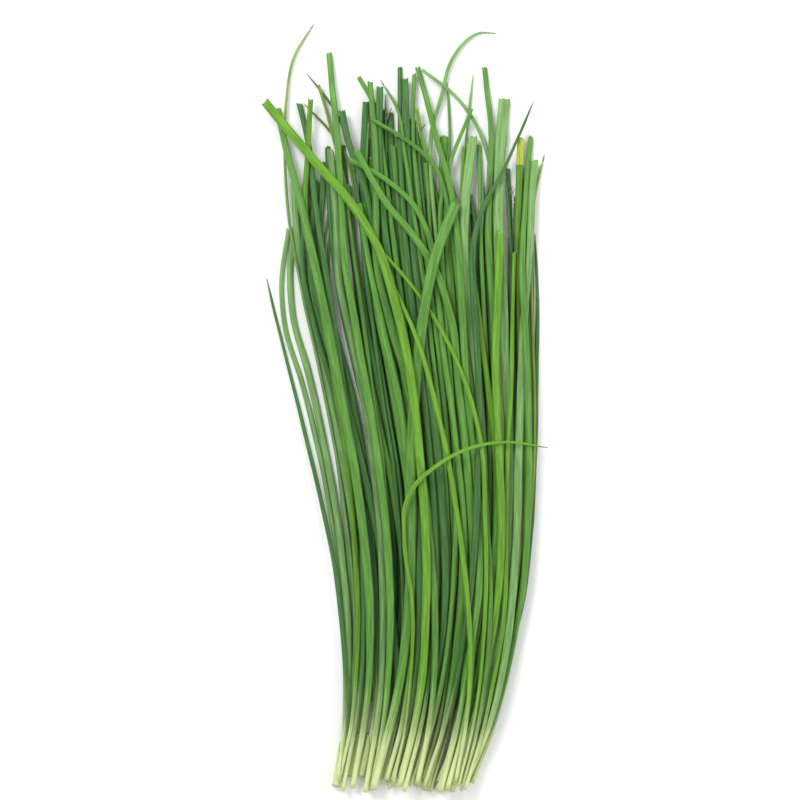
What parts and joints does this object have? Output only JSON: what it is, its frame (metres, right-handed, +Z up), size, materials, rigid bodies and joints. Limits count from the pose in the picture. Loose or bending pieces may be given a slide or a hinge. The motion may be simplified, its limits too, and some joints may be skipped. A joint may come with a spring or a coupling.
{
  "type": "chive bunch",
  "caption": "Bunch of fresh cut chives lying flat, long slim hollow green leaves fanned at the tips and gathered at the pale cut bases",
  "frame": {"origin": "middle of the bunch's box, on the surface it lies on", "axes": "+Y towards the leaf tips, -Y towards the cut bases, +Z up off the surface"},
  "size_m": [0.0846, 0.2268, 0.0118],
  "materials": {
    "leaf_bright": "satin, waxy, with fine lengthwise veins",
    "leaf_mid": "satin, waxy, with fine lengthwise veins",
    "leaf_deep": "satin, waxy, with fine lengthwise veins",
    "leaf_pale": "satin, waxy, with fine lengthwise veins",
    "leaf_yellowing": "satin, waxy, with fine lengthwise veins"
  },
  "bodies": {
    "root": {"leaf_01": "leaf_pale", "leaf_02": "leaf_yellowing", "leaf_03": "leaf_deep", "leaf_04": "leaf_deep", "leaf_05": "leaf_mid", "leaf_06": "leaf_deep", "leaf_07": "leaf_deep", "leaf_08": "leaf_mid", "leaf_09": "leaf_deep", "leaf_10": "leaf_deep", "leaf_11": "leaf_deep", "leaf_12": "leaf_mid", "leaf_13": "leaf_mid", "leaf_14": "leaf_bright", "leaf_15": "leaf_mid", "leaf_16": "leaf_mid", "leaf_17": "leaf_pale", "leaf_18": "leaf_pale", "leaf_19": "leaf_mid", "leaf_20": "leaf_mid", "leaf_21": "leaf_bright", "leaf_22": "leaf_pale", "leaf_23": "leaf_pale", "leaf_24": "leaf_mid", "leaf_25": "leaf_mid", "leaf_26": "leaf_pale", "leaf_27": "leaf_bright", "leaf_28": "leaf_bright", "leaf_29": "leaf_pale", "leaf_30": "leaf_mid", "leaf_31": "leaf_bright", "leaf_32": "leaf_mid", "leaf_33": "leaf_deep", "leaf_34": "leaf_pale", "leaf_35": "leaf_mid", "leaf_36": "leaf_mid", "leaf_37": "leaf_mid", "leaf_38": "leaf_mid", "leaf_39": "leaf_mid", "leaf_40": "leaf_mid", "leaf_41": "leaf_deep", "leaf_42": "leaf_bright", "leaf_43": "leaf_bright", "leaf_44": "leaf_mid", "leaf_45": "leaf_bright", "leaf_46": "leaf_bright", "leaf_47": "leaf_bright", "shoot_01": "leaf_pale", "shoot_02": "leaf_mid", "shoot_03": "leaf_pale", "shoot_04": "leaf_deep", "shoot_05": "leaf_deep", "shoot_06": "leaf_deep", "shoot_07": "leaf_deep", "shoot_08": "leaf_deep", "shoot_09": "leaf_deep", "shoot_10": "leaf_deep", "shoot_11": "leaf_mid", "shoot_12": "leaf_deep", "shoot_13": "leaf_mid"}
  },
  "joints": []
}
